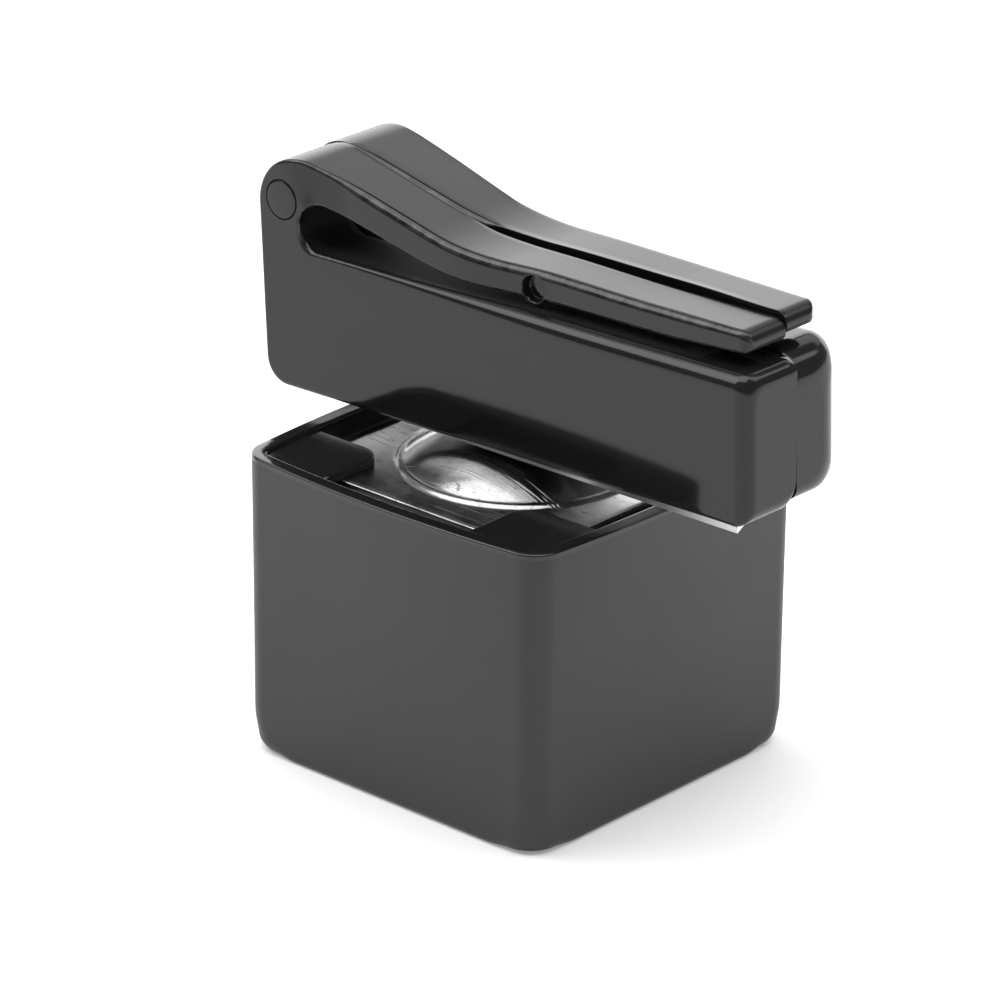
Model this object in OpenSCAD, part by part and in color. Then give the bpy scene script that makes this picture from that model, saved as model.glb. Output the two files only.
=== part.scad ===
// Magnetic chalk holder: a square cup that grips a chalk cube from below, with a domed steel plate on top,
// and a spring belt clip, moulded in two halves, whose magnet holds on to the dome.
// Millimetres. The origin is the middle of the cup's mouth, on the plane it stands on.
// +Z is up and +X runs along the clip, towards its open end.

/* [Cup] */
// Width of the cup at its foot, both ways
cup_w = 30; // [28.5:0.1:34]
// Height of the cup, from foot to rim
cup_h = 24.7; // [23:0.1:30]
// Radius of the upright corners
cup_corner_r = 1.9; // [1.5:0.1:3]
// Thickness of the walls
cup_wall = 1.3; // [1:0.1:1.6]
// How far the middle of each wall swells out at the rim
cup_bow = 0.9; // [0:0.1:1.2]
// Radius along the foot's outer edge
foot_r = 0.6; // [0.3:0.1:1]
// Thickness of the floor under the steel plate
inner_floor_t = 1.6; // [1:0.1:2.5]

/* [Chalk grip] */
// Width of the chalk cube that the cup takes
chalk_w = 22.4; // [21:0.1:23.5]
// Gap between the chalk and each rib
chalk_gap = 0.1; // [0.05:0.05:0.3]
// Thickness of each grip rib
rib_t = 1.2; // [0.8:0.1:2]
// Distance between the two ribs of a wall
rib_pitch = 12; // [8:0.5:16]
// Height of the sloped lead-in at a rib's mouth end
rib_lead = 3; // [1:0.5:5]

/* [Steel plate] */
// Width of the square plate
plate_w = 24.4; // [22:0.2:25.6]
// Thickness of the plate
plate_t = 0.8; // [0.5:0.1:1.2]
// Depth of the plate's top below the rim
plate_drop = 1; // [0.9:0.1:2]
// Diameter of the pressed dome at its foot
dome_d = 19; // [14:0.5:21]
// Height of the dome above the plate
dome_h = 2.75; // [2.5:0.05:4]
// Width of the corner tabs that hold the plate down
tab_w = 6.4; // [3:0.1:8]
// Thickness of the corner tabs
tab_t = 0.65; // [0.4:0.05:0.8]
// Radius of a tab's inner corner
tab_r = 2; // [0.5:0.1:2.5]
// Gap between the plate and what holds it, above and below
plate_gap = 0.04; // [0.02:0.01:0.1]

/* [Clip base] */
// Distance from the dome's axis to the clip's closed end
clip_left = 21.8; // [20:0.1:26]
// Distance from the dome's axis to the clip's open end
clip_right = 26.6; // [24:0.1:32]
// Distance from the dome's axis to the front of the clip base
clip_front = 5.3; // [5:0.1:6]
// Width of the clip base
base_w = 11.6; // [10.6:0.1:13]
// Share of that width taken by the front half
front_w = 5.8; // [5:0.1:6.4]
// Height of the clip base
base_h = 11.65; // [11:0.05:14]
// Lean of the rear half about the hump, open end up, in degrees
rear_lean = 0.55; // [0:0.05:0.7]
// Radius along the front half's upper and upright edges
edge_r = 1.2; // [0.6:0.1:1.8]
// Radius of the rear half's upper and upright edges at the open end
rear_end_r = 2.7; // [1.2:0.1:3]
// Radius along the rear half's long edges
rear_edge_r = 2.2; // [1:0.1:2.4]
// Radius along the front half's lower edge
lower_edge_r = 0.5; // [0.3:0.1:0.8]
// Radius of the lower corner at the closed end
heel_r = 2; // [1:0.1:3]
// Thickness of the walls round the hollow
shell_t = 1.6; // [1.2:0.1:1.8]
// How far the closed end leans out from heel to hump
neck_lean = 0.4; // [0:0.05:0.8]
// Lean of the clip as it sits on the dome, open end up, in degrees
clip_tilt = 1.6; // [0:0.1:2.5]

/* [Spring arm] */
// Radius of the round hump where the arm springs from
hump_r = 4; // [3.4:0.1:4.6]
// Height of the hump's centre above the base's top
hump_rise = 3.05; // [2.8:0.05:3.6]
// Distance from the dome's axis to the arm's tip
arm_tip = 25.3; // [20:0.1:30]
// Thickness of the arm along its level stretch
arm_t = 2.05; // [1.8:0.05:2.6]
// Gap between the level stretch and the base
arm_gap = 0.7; // [0.6:0.05:1.5]
// Fall of the arm's top from the hump, in degrees
top_fall = 14.6; // [12:0.1:18]
// Fall of the arm's underside from the slot's closed end, in degrees
under_fall = 13.5; // [11:0.1:16]
// Radius of the bend in the arm's top
top_bend_r = 38; // [20:1:50]
// Radius of the bend in the arm's underside
under_bend_r = 28; // [15:1:35]
// Radius of the slot's closed end
slot_r = 1.85; // [1.5:0.05:2.2]
// Distance from the closed end of the clip to the centre of the slot's round
slot_in = 5.7; // [5.3:0.05:6.5]
// Length of the sloped lead-in under the tip
lead_l = 7.3; // [4:0.1:10]
// Rise of that lead-in
lead_rise = 0.4; // [0.2:0.05:1]
// Radius over the tip's top edge
tip_r = 1; // [0.4:0.1:1.2]
// Width of the front arm, from the seam, along its fall
arm_root_w = 4.95; // [4.4:0.05:5.6]
// Width of the rear arm, from the seam, at the bend
rear_bend_w = 5.1; // [4.6:0.05:5.6]
// Width of each arm, from the seam, along the level stretch
arm_flat_w = 4.1; // [3.6:0.05:4.8]
// Gap between the two arms along the seam, next to the hump
arm_seam_gap = 0.06; // [0.04:0.02:0.2]
// Gap between the two arms along the level stretch
prong_gap = 0.7; // [0.3:0.05:0.9]
// Gap between the two arms at their tips
prong_tip_gap = 0.2; // [0.1:0.05:0.4]
// How far that gap lies behind the seam
prong_shift = 0.5; // [0:0.05:0.6]
// Running gap round the hump, where the neck bends
neck_gap = 0.06; // [0.03:0.01:0.1]
// Free height at the back of the neck
neck_relief = 0.75; // [0.7:0.05:1.2]

/* [Dowels] */
// Diameter of the dowel through the hump
hump_dowel_d = 3.3; // [2:0.1:3.6]
// Plastic left between that dowel and the closed end
hump_dowel_edge = 0.85; // [0.7:0.05:1.2]
// Diameter of the dowel between the arms
arm_dowel_d = 1.1; // [0.8:0.05:1.2]
// Distance from the dome's axis to the arm dowel and its eye
arm_dowel_x = 4.7; // [3:0.1:9]
// Diameter of the round eye in the front arm's side
eye_d = 2; // [1.6:0.05:2.1]
// Depth of that eye
eye_depth = 0.8; // [0.2:0.1:1.5]
// Diameter of the round boss about the eye
eye_boss_d = 2.4; // [2.3:0.05:2.5]
// Wall left behind a dowel's blind end
dowel_end_wall = 1.2; // [0.8:0.1:2]
// Gap round a dowel
dowel_gap = 0.03; // [0.01:0.01:0.05]
// Diameter of the locating pegs between the base halves
peg_d = 2; // [1.5:0.1:2.4]
// Height of those pegs above the clip's underside
peg_z = 6; // [5:0.1:8]

/* [Sole and magnet] */
// Thickness of the steel sole plate
sole_t = 0.5; // [0.3:0.05:0.8]
// Margin between the sole plate and the outline of the base, in front and at the heel
sole_inset = 0.6; // [0.5:0.05:1.5]
// Margin between the sole plate and the rear of the base
sole_rear_inset = 2.2; // [2:0.1:3]
// Margin between the sole plate's front corner and the open end
sole_end_inset = 1.3; // [0.6:0.1:2]
// How far the sole plate's slanted end falls back, from front to rear
sole_slant = 3.2; // [0:0.1:4]
// Depth of the sole's underside inside the base, at its middle
sole_sink = 0; // [0:0.02:0.5]
// Fall of the sole towards the open end, in degrees
sole_pitch = 0.9; // [0:0.1:1.2]
// Lean of the sole, rear edge up, in degrees
sole_roll = 4.4; // [3:0.1:6]
// Gap between the sole and the dome
contact_gap = 0.08; // [0.05:0.01:0.2]
// Length of the bar magnet
magnet_l = 32; // [20:1:34]
// Width of the bar magnet
magnet_w = 6; // [4:0.5:6]
// Height of the bar magnet
magnet_h = 5; // [3:0.5:5.5]
// Gap round the magnet and the sole plate in their seats
magnet_gap = 0.15; // [0.05:0.05:0.3]
// Thickness of the ribs that press on the magnet
keeper_t = 1.2; // [0.8:0.1:2]

/* [Hidden] */
$fn = 64;

cup_colour = [0.09, 0.09, 0.095];
clip_colour = [0.06, 0.06, 0.065];
steel_colour = [0.72, 0.72, 0.72];
magnet_colour = [0.45, 0.45, 0.47];

// Overlap of a cut past the face that it opens
cut = 1;
corner_steps = 6;
side_steps = 8;
wall_steps = 6;
bend_steps = 10;
// Depth at which the arm's top meets the round of the hump
weld = 0.01;

cup_half = cup_w / 2;
inner_half = cup_half - cup_wall;
inner_corner_r = max(cup_corner_r - cup_wall, 0.3);
plate_top = cup_h - plate_drop;
plate_bottom = plate_top - plate_t;
floor_top = plate_bottom - plate_gap;
floor_bottom = floor_top - inner_floor_t;
dome_r = (pow(dome_d / 2, 2) + pow(dome_h, 2)) / (2 * dome_h);
dome_top = plate_top + dome_h;

base_mid_x = (clip_right - clip_left) / 2;
front_y = -clip_front;
rear_y = front_y + base_w;
rear_w = base_w - front_w;
seam_y = front_y + front_w;
hump_x = hump_r - clip_left - neck_lean;
hump_z = base_h + hump_rise;
slot_x = slot_in - clip_left;
slot_z = base_h + slot_r;
// Where the arm's underside leaves the slot's round end
under_from = [slot_x, slot_z] + slot_r * [sin(under_fall), cos(under_fall)];
arm_under_z = base_h + arm_gap;
arm_top_z = arm_under_z + arm_t;
// Places along the arm: before the hump, where the taper ends, where the bend starts and past the tip
arm_left = -clip_left - neck_lean - cut;
taper_x = hump_x + hump_r;
fall_x = slot_x + 2 * slot_in;
level_x = arm_tip - lead_l - (arm_tip - lead_l - slot_x) / 3;
arm_right = arm_tip + cut;
// Stretch over which the gap between the arms keeps its full width
slit_from = fall_x + lead_l / 2;
slit_to = arm_tip - 3 * lead_l / 2;
front_widths = [[arm_left, front_w], [hump_x, front_w], [taper_x, arm_root_w], [fall_x, arm_root_w],
                [level_x, arm_flat_w], [arm_right, arm_flat_w]];
rear_widths = [[arm_left, rear_w], [taper_x, rear_w], [fall_x, rear_bend_w], [arm_right, arm_flat_w]];
eye_z = arm_top_z - eye_boss_d / 2;
rear_rise_at_dowel = (arm_dowel_x - hump_x) * tan(rear_lean);
arm_dowel_z = (arm_under_z + rear_rise_at_dowel + arm_top_z) / 2;
hump_dowel_x = hump_x - hump_r + hump_dowel_d / 2 + hump_dowel_edge;
hump_dowel_z = hump_z + hump_r / 7;

sole_left = heel_r + sole_inset - clip_left;
sole_right = clip_right - sole_end_inset;
sole_front_y = front_y + sole_inset;
sole_rear_y = rear_y - sole_rear_inset;
sole_mid_y = (sole_front_y + sole_rear_y) / 2;

// Height of the clip's underside at the dome's axis: its sole lies one contact gap off the round of the dome
sole_z_at_axis = sole_sink + base_mid_x * tan(sole_pitch);
clip_z = dome_top - dome_r + (dome_r + contact_gap) / (cos(clip_tilt - sole_pitch) * cos(sole_roll))
         - sole_z_at_axis;

// Points of an arc from angle a0 to a1 about c
function arc(c, r, a0, a1, steps) =
    [for (i = [0 : steps]) let (a = a0 + (a1 - a0) * i / steps) c + r * [cos(a), sin(a)]];

// Outline of a square with round corners, half as wide as h, with points along its sides
function round_square(h, r) =
    [for (q = [0 : 3], p = quarter(h, r)) [p.x * cos(90 * q) - p.y * sin(90 * q),
                                           p.x * sin(90 * q) + p.y * cos(90 * q)]];
function quarter(h, r) =
    concat([for (i = [0 : side_steps - 1]) [h, (r - h) + 2 * (h - r) * i / side_steps]],
           [for (i = [0 : corner_steps - 1]) let (a = 90 * i / corner_steps)
               [h - r + r * cos(a), h - r + r * sin(a)]]);

// Swell of the walls at height z, none at the foot and all of it at the rim
function bow_at(z) = cup_bow * pow(max(z, 0) / cup_h, 2) / cup_half;
function bowed(p, z) = [p.x * (1 + bow_at(z) * (1 - pow(p.y / cup_half, 2))),
                        p.y * (1 + bow_at(z) * (1 - pow(p.x / cup_half, 2))), z];

// Solid through a stack of square outlines, each [half width, corner radius, height]
module bowed_block(rings) {
    n = 4 * (side_steps + corner_steps);
    top = (len(rings) - 1) * n;
    centres = [[0, 0, rings[0][2]], [0, 0, rings[len(rings) - 1][2]]];
    points = [for (ring = rings, p = round_square(ring[0], ring[1])) bowed(p, ring[2])];
    sides = [for (k = [0 : len(rings) - 2], i = [0 : n - 1], half = [0, 1])
        let (a = k * n + i, b = k * n + (i + 1) % n)
        half == 0 ? [a, a + n, b + n] : [a, b + n, b]];
    bottom_face = [for (i = [0 : n - 1]) [i, (i + 1) % n, top + n]];
    top_face = [for (i = [0 : n - 1]) [top + (i + 1) % n, top + i, top + n + 1]];
    polyhedron(concat(points, centres), concat(sides, bottom_face, top_face));
}

// Outer shape of the cup: a rounded foot edge, then walls that swell towards the rim
module cup_block() {
    foot = [for (i = [0 : 3]) let (a = 90 * i / 3)
        [cup_half - foot_r * (1 - sin(a)), cup_corner_r - foot_r * (1 - sin(a)), foot_r * (1 - cos(a))]];
    walls = [for (i = [1 : wall_steps]) [cup_half, cup_corner_r, foot_r + (cup_h - foot_r) * i / wall_steps]];
    bowed_block(concat(foot, walls));
}

// One corner tab, seen from above, in the corner towards +X and +Y
module tab_outline() {
    inner = inner_half - tab_w;
    reach = tab_w + 2 * cup_wall;
    translate([inner + tab_r, inner]) square([reach - tab_r, reach]);
    translate([inner, inner + tab_r]) square([reach, reach - tab_r]);
    translate([inner + tab_r, inner + tab_r]) circle(tab_r);
}

// Inside of the cup, seen from above
module cavity_outline() {
    flat = 2 * (inner_half - inner_corner_r);
    square([2 * inner_half, flat], center = true);
    square([flat, 2 * inner_half], center = true);
    for (x = [-flat / 2, flat / 2], y = [-flat / 2, flat / 2])
        translate([x, y]) circle(inner_corner_r);
}

// One grip rib on the wall towards +X, sloped at its mouth end
module grip_rib() {
    face = chalk_w / 2 + chalk_gap;
    root = inner_half + cup_wall / 2;
    translate([0, rib_t / 2, 0]) rotate([90, 0, 0]) linear_extrude(rib_t)
        polygon([[root, foot_r + cut], [inner_half, foot_r + cut], [face, foot_r + cut + rib_lead],
                 [face, floor_bottom + inner_floor_t / 2], [root, floor_bottom + inner_floor_t / 2]]);
}

module chalk_cup() {
    color(cup_colour) union() {
        difference() {
            cup_block();
            bowed_block([for (z = [floor_top, cup_h + cut]) [inner_half, inner_corner_r, z]]);
            translate([0, 0, -cut]) linear_extrude(floor_bottom + cut) cavity_outline();
        }
        intersection() {
            bowed_block([for (z = [floor_top, cup_h]) [cup_half - cup_wall / 2, cup_corner_r, z]]);
            for (q = [0 : 3])
                rotate(90 * q) translate([0, 0, plate_top + plate_gap]) linear_extrude(tab_t) tab_outline();
        }
        for (q = [0 : 3], s = [-1, 1])
            rotate(90 * q) translate([0, s * rib_pitch / 2, 0]) grip_rib();
    }
}

module strike_plate() {
    color(steel_colour) difference() {
        union() {
            translate([-plate_w / 2, -plate_w / 2, plate_bottom]) cube([plate_w, plate_w, plate_t]);
            intersection() {
                translate([0, 0, dome_top - dome_r]) sphere(dome_r);
                translate([0, 0, plate_bottom]) cylinder(h = dome_h + plate_t + cut, d = dome_d);
            }
        }
        intersection() {
            translate([0, 0, dome_top - dome_r]) sphere(dome_r - plate_t);
            translate([0, 0, plate_bottom - cut]) cylinder(h = dome_h + plate_t + cut, d = dome_d);
        }
    }
}

// Puts a clip piece, drawn with its underside at z = 0, on the dome
module on_dome() {
    translate([0, 0, clip_z]) rotate([0, -clip_tilt, 0]) children();
}

// Turns a piece of the rear half about the hump
module leaned() {
    translate([hump_x, 0, hump_z]) rotate([0, -rear_lean, 0]) translate([-hump_x, 0, -hump_z]) children();
}

// Carries a side outline, drawn in x and z, from y0 to y1
module across(y0, y1) {
    translate([0, y1, 0]) rotate([90, 0, 0]) linear_extrude(y1 - y0) children();
}

// Side outline of the base: its closed end leans and its open end has round corners
module base_side(low_r, high_r) {
    lean = neck_lean * base_h / hump_z;
    difference() {
        polygon([[-clip_left, 0], [clip_right, 0], [clip_right, base_h], [-clip_left - lean, base_h]]);
        translate([-clip_left, 0]) corner_waste(heel_r, 1, 1);
        translate([clip_right, 0]) corner_waste(low_r, -1, 1);
        translate([clip_right, base_h]) corner_waste(high_r, -1, -1);
    }
}

// What a round of radius r leaves outside it in a square corner that opens towards sx and sy
module corner_waste(r, sx, sy) {
    difference() {
        translate([sx < 0 ? -r : -cut, sy < 0 ? -r : -cut]) square(r + cut);
        translate([sx * r, sy * r]) circle(r);
    }
}

// Section of the base across its length from the seam out to the side at y_out
module base_section(y_out, low_r, high_r) {
    s = y_out < seam_y ? 1 : -1;
    difference() {
        translate([min(y_out, seam_y), 0]) square([abs(y_out - seam_y), base_h]);
        translate([y_out, 0]) corner_waste(low_r, s, 1);
        translate([y_out, base_h]) corner_waste(high_r, s, -1);
    }
}

// Plan of the base from the seam out to the side at y_out
module base_plan(y_out, end_r) {
    s = y_out < seam_y ? 1 : -1;
    left = -clip_left - neck_lean;
    difference() {
        translate([left, min(y_out, seam_y)]) square([clip_right - left, abs(y_out - seam_y)]);
        translate([left, y_out]) corner_waste(lower_edge_r, 1, s);
        translate([clip_right, y_out]) corner_waste(end_r, -1, s);
    }
}

// One half of the base as a solid, cradled for the hump, with round edges at its end and along its length
module base_half(y_out, end_r, low_r, high_r) {
    difference() {
        intersection() {
            across(min(y_out, seam_y), max(y_out, seam_y)) base_side(edge_r, end_r);
            translate([-clip_left - cut, 0, 0]) rotate([90, 0, 90])
                linear_extrude(clip_left + clip_right + cut) base_section(y_out, low_r, high_r);
            translate([0, 0, -cut]) linear_extrude(base_h + 2 * cut) base_plan(y_out, end_r);
        }
        across(min(y_out, seam_y) - cut, max(y_out, seam_y) + cut)
            translate([hump_x, hump_z]) circle(hump_r + neck_gap);
    }
}

// Puts a piece on the tilted plane of the sole's underside
module on_sole() {
    translate([base_mid_x, 0, sole_sink])
        rotate([sole_roll, 0, 0]) rotate([0, sole_pitch, 0]) children();
}

// Plan of the sole plate, grown by gap, with its slanted end
module sole_plan(gap) {
    left = sole_left - base_mid_x - gap;
    right = sole_right - base_mid_x + gap;
    y0 = sole_front_y - gap;
    y1 = sole_rear_y + gap;
    polygon([[left, y0], [right, y0], [right - sole_slant, y1], [left, y1]]);
}

// Room for the sole plate and the magnet, with the ribs that press on the magnet left standing
module magnet_room(y_out) {
    y_wall = y_out < seam_y ? y_out + shell_t : min(y_out - shell_t, sole_rear_y);
    room_l = magnet_l + 2 * magnet_gap;
    roof = base_h - shell_t;
    on_sole() translate([0, 0, sole_t + magnet_gap - base_h])
        linear_extrude(base_h) sole_plan(magnet_gap);
    difference() {
        translate([base_mid_x - room_l / 2, min(y_wall, seam_y) - (y_out > seam_y ? cut : 0), 0])
            cube([room_l, abs(y_wall - seam_y) + cut, roof]);
        for (i = [-1 : 1]) difference() {
            translate([base_mid_x + i * magnet_l / 3 - keeper_t / 2, front_y, 0])
                cube([keeper_t, base_w, base_h]);
            on_sole() translate([0, 0, sole_t + magnet_h + 2 * magnet_gap - base_h / 2])
                cube([2 * magnet_l, 2 * base_w, base_h], center = true);
        }
    }
}

// Locating pegs near both ends of the base, from y0 to y1
module pegs(y0, y1, gap) {
    for (x = [base_mid_x - magnet_l / 2 - peg_d, base_mid_x + magnet_l / 2 + peg_d])
        across(y0, y1) translate([x, peg_z]) circle(d = peg_d + 2 * gap);
}

module clip_front_half() {
    peg_reach = front_w / 2;
    color(clip_colour) on_dome() difference() {
        base_half(front_y, edge_r, lower_edge_r, edge_r);
        magnet_room(front_y);
        pegs(seam_y - peg_reach - dowel_gap, seam_y + cut, dowel_gap);
    }
}

module clip_rear_half() {
    peg_reach = front_w / 2;
    color(clip_colour) on_dome() union() {
        difference() {
            leaned() base_half(rear_y, rear_end_r, rear_edge_r, rear_edge_r);
            magnet_room(rear_y);
        }
        pegs(seam_y - peg_reach, seam_y + shell_t, 0);
    }
}

// Side outline of the arm: the falling stretch, the bend, the level stretch and the tip
module arm_side() {
    top_from = [hump_x, hump_z] + (hump_r - weld) * [sin(top_fall), cos(top_fall)];
    top_corner_x = top_from.x + (top_from.y - arm_top_z) / tan(top_fall);
    top_run = top_bend_r * tan(top_fall / 2);
    top_bend = arc([top_corner_x + top_run, arm_top_z + top_bend_r], top_bend_r, 270 - top_fall, 270,
                   bend_steps);
    under_corner_x = under_from.x + (under_from.y - arm_under_z) / tan(under_fall);
    under_run = under_bend_r * tan(under_fall / 2);
    under_bend = arc([under_corner_x + under_run, arm_under_z + under_bend_r], under_bend_r, 270,
                     270 - under_fall, bend_steps);
    tip = arc([arm_tip - tip_r, arm_top_z - tip_r], tip_r, 90, 0, bend_steps);
    lead = [[arm_tip, arm_under_z + lead_rise], [arm_tip - lead_l, arm_under_z]];
    polygon(concat([[hump_x, hump_z], top_from], top_bend, tip, lead, under_bend, [under_from]));
}

// Side outline of the hump's back, down to the free height at the neck
module back_side() {
    foot_z = base_h + neck_relief;
    polygon([[-clip_left - neck_lean * foot_z / hump_z, foot_z], [hump_x, foot_z], [hump_x, hump_z],
             [hump_x - hump_r, hump_z]]);
}

// Side outline of what the slot takes from the hump
module slot_side() {
    slot_end_x = hump_x + hump_r + cut;
    translate([slot_x, slot_z]) circle(slot_r);
    polygon([[slot_x, base_h - cut], [slot_end_x, base_h - cut],
             [slot_end_x, under_from.y - (slot_end_x - under_from.x) * tan(under_fall)], under_from,
             [slot_x, slot_z]]);
}

// Plan of an arm in front of the seam (s = -1) or behind it (s = 1), through widths, each [x, width]
module arm_plan(s, widths) {
    y0 = seam_y + s * arm_seam_gap / 2;
    y_slit = seam_y + prong_shift + s * prong_gap / 2;
    y_tip = seam_y + prong_shift / 2 + s * prong_tip_gap / 2;
    end_r = tip_r / 2;
    side = [for (w = widths) [w.x, seam_y + s * w.y]];
    difference() {
        polygon(concat([[arm_left, y0]], side, [[arm_right, y_tip], [slit_to, y_slit],
                                                [slit_from, y_slit], [fall_x, y0]]));
        translate([arm_tip, seam_y + s * arm_flat_w]) corner_waste(end_r, -1, -s);
    }
}

// One arm as a solid, with its hump
module arm_half(s, widths) {
    y0 = front_y - cut;
    y1 = rear_y + cut;
    intersection() {
        difference() {
            union() {
                across(y0, y1) translate([hump_x, hump_z]) circle(hump_r);
                across(y0, y1) arm_side();
                across(y0, y1) back_side();
            }
            across(y0 - cut, y1 + cut) slot_side();
        }
        linear_extrude(hump_z + hump_r + cut) arm_plan(s, widths);
    }
}

// A dowel hole or a dowel along y, at [x, z]
module dowel(at, d, y0, y1) {
    across(y0, y1) translate(at) circle(d = d);
}

module front_spring_arm() {
    y_side = seam_y - arm_flat_w;
    color(clip_colour) on_dome() difference() {
        union() {
            arm_half(-1, front_widths);
            dowel([arm_dowel_x, eye_z], eye_boss_d, y_side, seam_y - arm_seam_gap / 2);
        }
        dowel([arm_dowel_x, eye_z], eye_d, y_side - cut, y_side + eye_depth);
        dowel([hump_dowel_x, hump_dowel_z], hump_dowel_d + 2 * dowel_gap, front_y - cut, seam_y + cut);
        dowel([arm_dowel_x, arm_dowel_z], arm_dowel_d + 2 * dowel_gap, y_side - cut, seam_y + cut);
    }
}

module rear_spring_arm() {
    blind = rear_y - dowel_end_wall;
    color(clip_colour) on_dome() difference() {
        leaned() arm_half(1, rear_widths);
        dowel([hump_dowel_x, hump_dowel_z], hump_dowel_d + 2 * dowel_gap, front_y, blind + dowel_gap);
        dowel([arm_dowel_x, arm_dowel_z], arm_dowel_d + 2 * dowel_gap, front_y,
              seam_y + arm_flat_w - dowel_end_wall + dowel_gap);
    }
}

module hump_dowel() {
    color(clip_colour) on_dome()
        dowel([hump_dowel_x, hump_dowel_z], hump_dowel_d, front_y, rear_y - dowel_end_wall);
}

module arm_dowel() {
    color(clip_colour) on_dome()
        dowel([arm_dowel_x, arm_dowel_z], arm_dowel_d, seam_y - arm_flat_w + eye_depth,
              seam_y + arm_flat_w - dowel_end_wall);
}

module sole_plate() {
    color(steel_colour) on_dome() on_sole() linear_extrude(sole_t) sole_plan(0);
}

module bar_magnet() {
    color(magnet_colour) on_dome() on_sole() translate([0, sole_mid_y, sole_t + magnet_h / 2])
        cube([magnet_l, magnet_w, magnet_h], center = true);
}

chalk_cup();
strike_plate();
clip_front_half();
clip_rear_half();
front_spring_arm();
rear_spring_arm();
hump_dowel();
arm_dowel();
sole_plate();
bar_magnet();
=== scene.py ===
import bpy
import numpy as np
from mathutils import Matrix


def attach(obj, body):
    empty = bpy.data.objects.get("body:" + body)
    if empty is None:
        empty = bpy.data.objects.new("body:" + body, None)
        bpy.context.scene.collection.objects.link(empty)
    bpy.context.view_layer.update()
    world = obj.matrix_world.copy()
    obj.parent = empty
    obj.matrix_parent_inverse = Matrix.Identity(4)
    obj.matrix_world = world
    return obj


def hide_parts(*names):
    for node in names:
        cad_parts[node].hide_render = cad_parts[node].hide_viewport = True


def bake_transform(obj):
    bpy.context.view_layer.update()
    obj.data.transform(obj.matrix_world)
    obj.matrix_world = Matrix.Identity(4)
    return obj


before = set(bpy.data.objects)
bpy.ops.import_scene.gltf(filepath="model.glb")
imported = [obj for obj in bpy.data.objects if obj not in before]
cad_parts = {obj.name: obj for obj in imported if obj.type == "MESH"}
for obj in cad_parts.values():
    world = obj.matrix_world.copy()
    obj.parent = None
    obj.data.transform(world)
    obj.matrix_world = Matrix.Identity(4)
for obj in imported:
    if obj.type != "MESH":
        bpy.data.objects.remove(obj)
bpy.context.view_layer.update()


# The cup: a square box moulded in black plastic, open below. Its walls swell a little towards the rim
# and its corners grow rounder at the foot. A floor near the top carries the steel plate.
# Sizes are in millimetres, from the middle of the cup's foot.
MM = 0.001
CUP_HALF = 15.0
CUP_HEIGHT = 24.7
CUP_CORNER = 1.9
CORNER_GROWTH = 1.1
GROWTH_HEIGHT = 3.0
CUP_WALL = 1.3
CUP_BOW = 0.9
FOOT_ROUND = 0.6
FOOT_CORNER_ROUND = 1.1
FOOT_FADE = 2.0
RIM_ROUND = 0.16
RIM_INNER_ROUND = 0.3
INNER_ROUND = 0.15
PLATE_TOP = 23.7
PLATE_BOTTOM = 22.9
FLOOR_BOTTOM = 21.26
LEDGE = 0.3
LEDGE_RISE = 0.1
WALL_ABOVE_FOOT = 0.1
WALL_RINGS = 30
SIDE_STEPS = 32
CORNER_STEPS = 12


def linear(code):
    """sRGB hex colour as linear red, green, blue, alpha: each channel goes through the sRGB curve."""
    channel = np.array([int(code[i:i + 2], 16) for i in (1, 3, 5)]) / 255
    bent = np.where(channel <= 0.04045, channel / 12.92, ((channel + 0.055) / 1.055) ** 2.4)
    return (*bent.tolist(), 1.0)


def node(tree, kind, inputs=(), **settings):
    """Adds one shader node. An input's value is either a plain value or another node's output socket."""
    made = tree.nodes.new(kind)
    for name, value in settings.items():
        setattr(made, name, value)
    for key, value in dict(inputs).items():
        if isinstance(value, bpy.types.NodeSocket):
            tree.links.new(value, made.inputs[key])
        else:
            made.inputs[key].default_value = value
    return made


def new_material(name):
    """An empty node material: its tree, its surface shader and its Object coordinates in millimetres."""
    material = bpy.data.materials.new(name)
    material.use_nodes = True
    tree = material.node_tree
    surface = tree.nodes["Principled BSDF"]
    place = node(tree, "ShaderNodeTexCoord").outputs["Object"]
    in_mm = node(tree, "ShaderNodeVectorMath", {0: place, 1: (1 / MM,) * 3}, operation="MULTIPLY")
    return material, tree, surface, in_mm.outputs[0]


def ring_piece(name, rings, material):
    """Skins a stack of closed rings, shape (rings, points, 3) in mm, with quads, and caps both ends.

    The edges round the two caps are marked sharp, so that a cap doesn't shade the skin next to it.
    """
    count, around = rings.shape[:2]
    i, j = np.meshgrid(np.arange(count - 1), np.arange(around), indexing="ij")
    a = i * around + j
    b = i * around + (j + 1) % around
    quads = np.stack([a, b, b + around, a + around], axis=-1).reshape(-1, 4)
    last = (count - 1) * around
    caps = [np.arange(around)[::-1].tolist(), (np.arange(around) + last).tolist()]
    mesh = bpy.data.meshes.new(name)
    mesh.from_pydata((rings.reshape(-1, 3) * MM).tolist(), [], quads.tolist() + caps)
    ends = np.empty(2 * len(mesh.edges), np.int32)
    mesh.edges.foreach_get("vertices", ends)
    ends = ends.reshape(-1, 2)
    on_cap = (ends < around).all(axis=1) | (ends >= last).all(axis=1)
    mesh.edges.foreach_set("use_edge_sharp", on_cap)
    mesh.polygons.foreach_set("use_smooth", np.ones(len(mesh.polygons), bool))
    mesh.materials.append(material)
    piece = bpy.data.objects.new(name, mesh)
    bpy.context.scene.collection.objects.link(piece)
    piece.modifiers.new("face_normals", "WEIGHTED_NORMAL").keep_sharp = True
    return piece


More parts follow.
